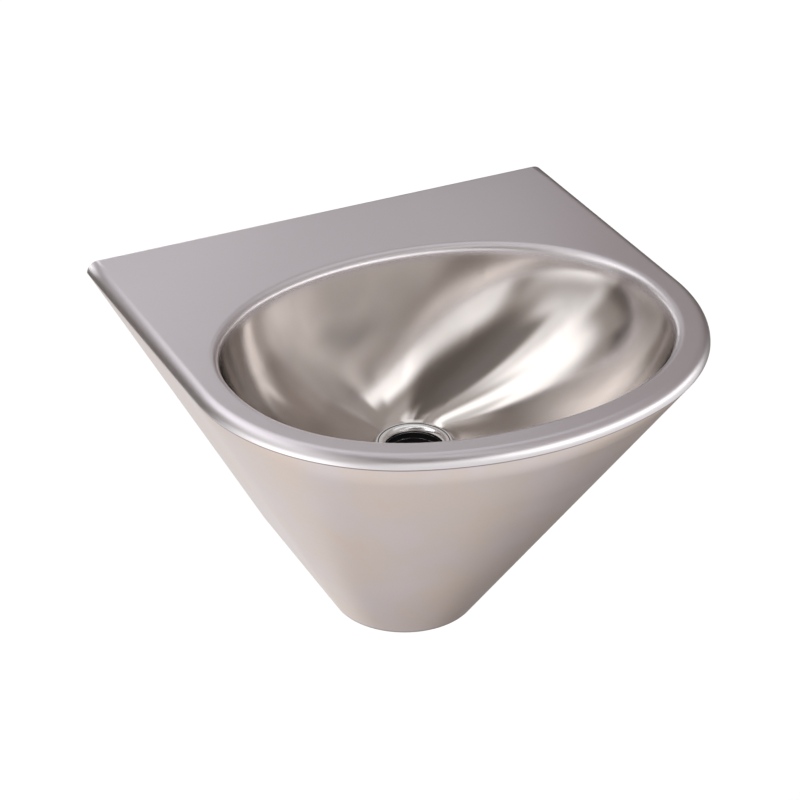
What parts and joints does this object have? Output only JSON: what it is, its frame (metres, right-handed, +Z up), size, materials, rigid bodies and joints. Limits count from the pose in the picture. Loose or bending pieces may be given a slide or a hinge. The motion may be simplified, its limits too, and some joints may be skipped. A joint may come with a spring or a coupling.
{
  "type": "wall-hung hand basin",
  "caption": "Wall-hung stainless steel hand basin: D-shaped deck with a pressed oval bowl, rolled rim, tapering cover and chromed waste, hung on a hook bracket.",
  "frame": {"origin": "on the wall, midway across the basin, level with the top of the deck", "axes": "+Z up, +Y into the wall, +X to the right as seen from the room"},
  "size_m": [0.4, 0.39, 0.274],
  "materials": {
    "basin_steel": "satin stainless sheet, polished smoother in the bowl",
    "cover_steel": "satin stainless sheet with a fine level grain",
    "plain_steel": "plain mill finish",
    "waste_chrome": "polished chrome plate",
    "black_rubber": "matt moulded rubber",
    "white_nylon": "matt moulded nylon",
    "brass": "turned brass"
  },
  "bodies": {
    "root": {"basin": "basin_steel", "cover": "cover_steel", "weld_studs": "plain_steel", "flange_nuts": "plain_steel", "hanging_rail": "plain_steel", "wall_bracket": "plain_steel", "earth_tag": "plain_steel", "earth_screw": "plain_steel", "earth_nut": "brass", "waste_body": "waste_chrome", "waste_upper_seal": "black_rubber", "waste_lower_seal": "black_rubber", "waste_slip_washer": "white_nylon", "waste_backnut": "brass"}
  },
  "joints": []
}
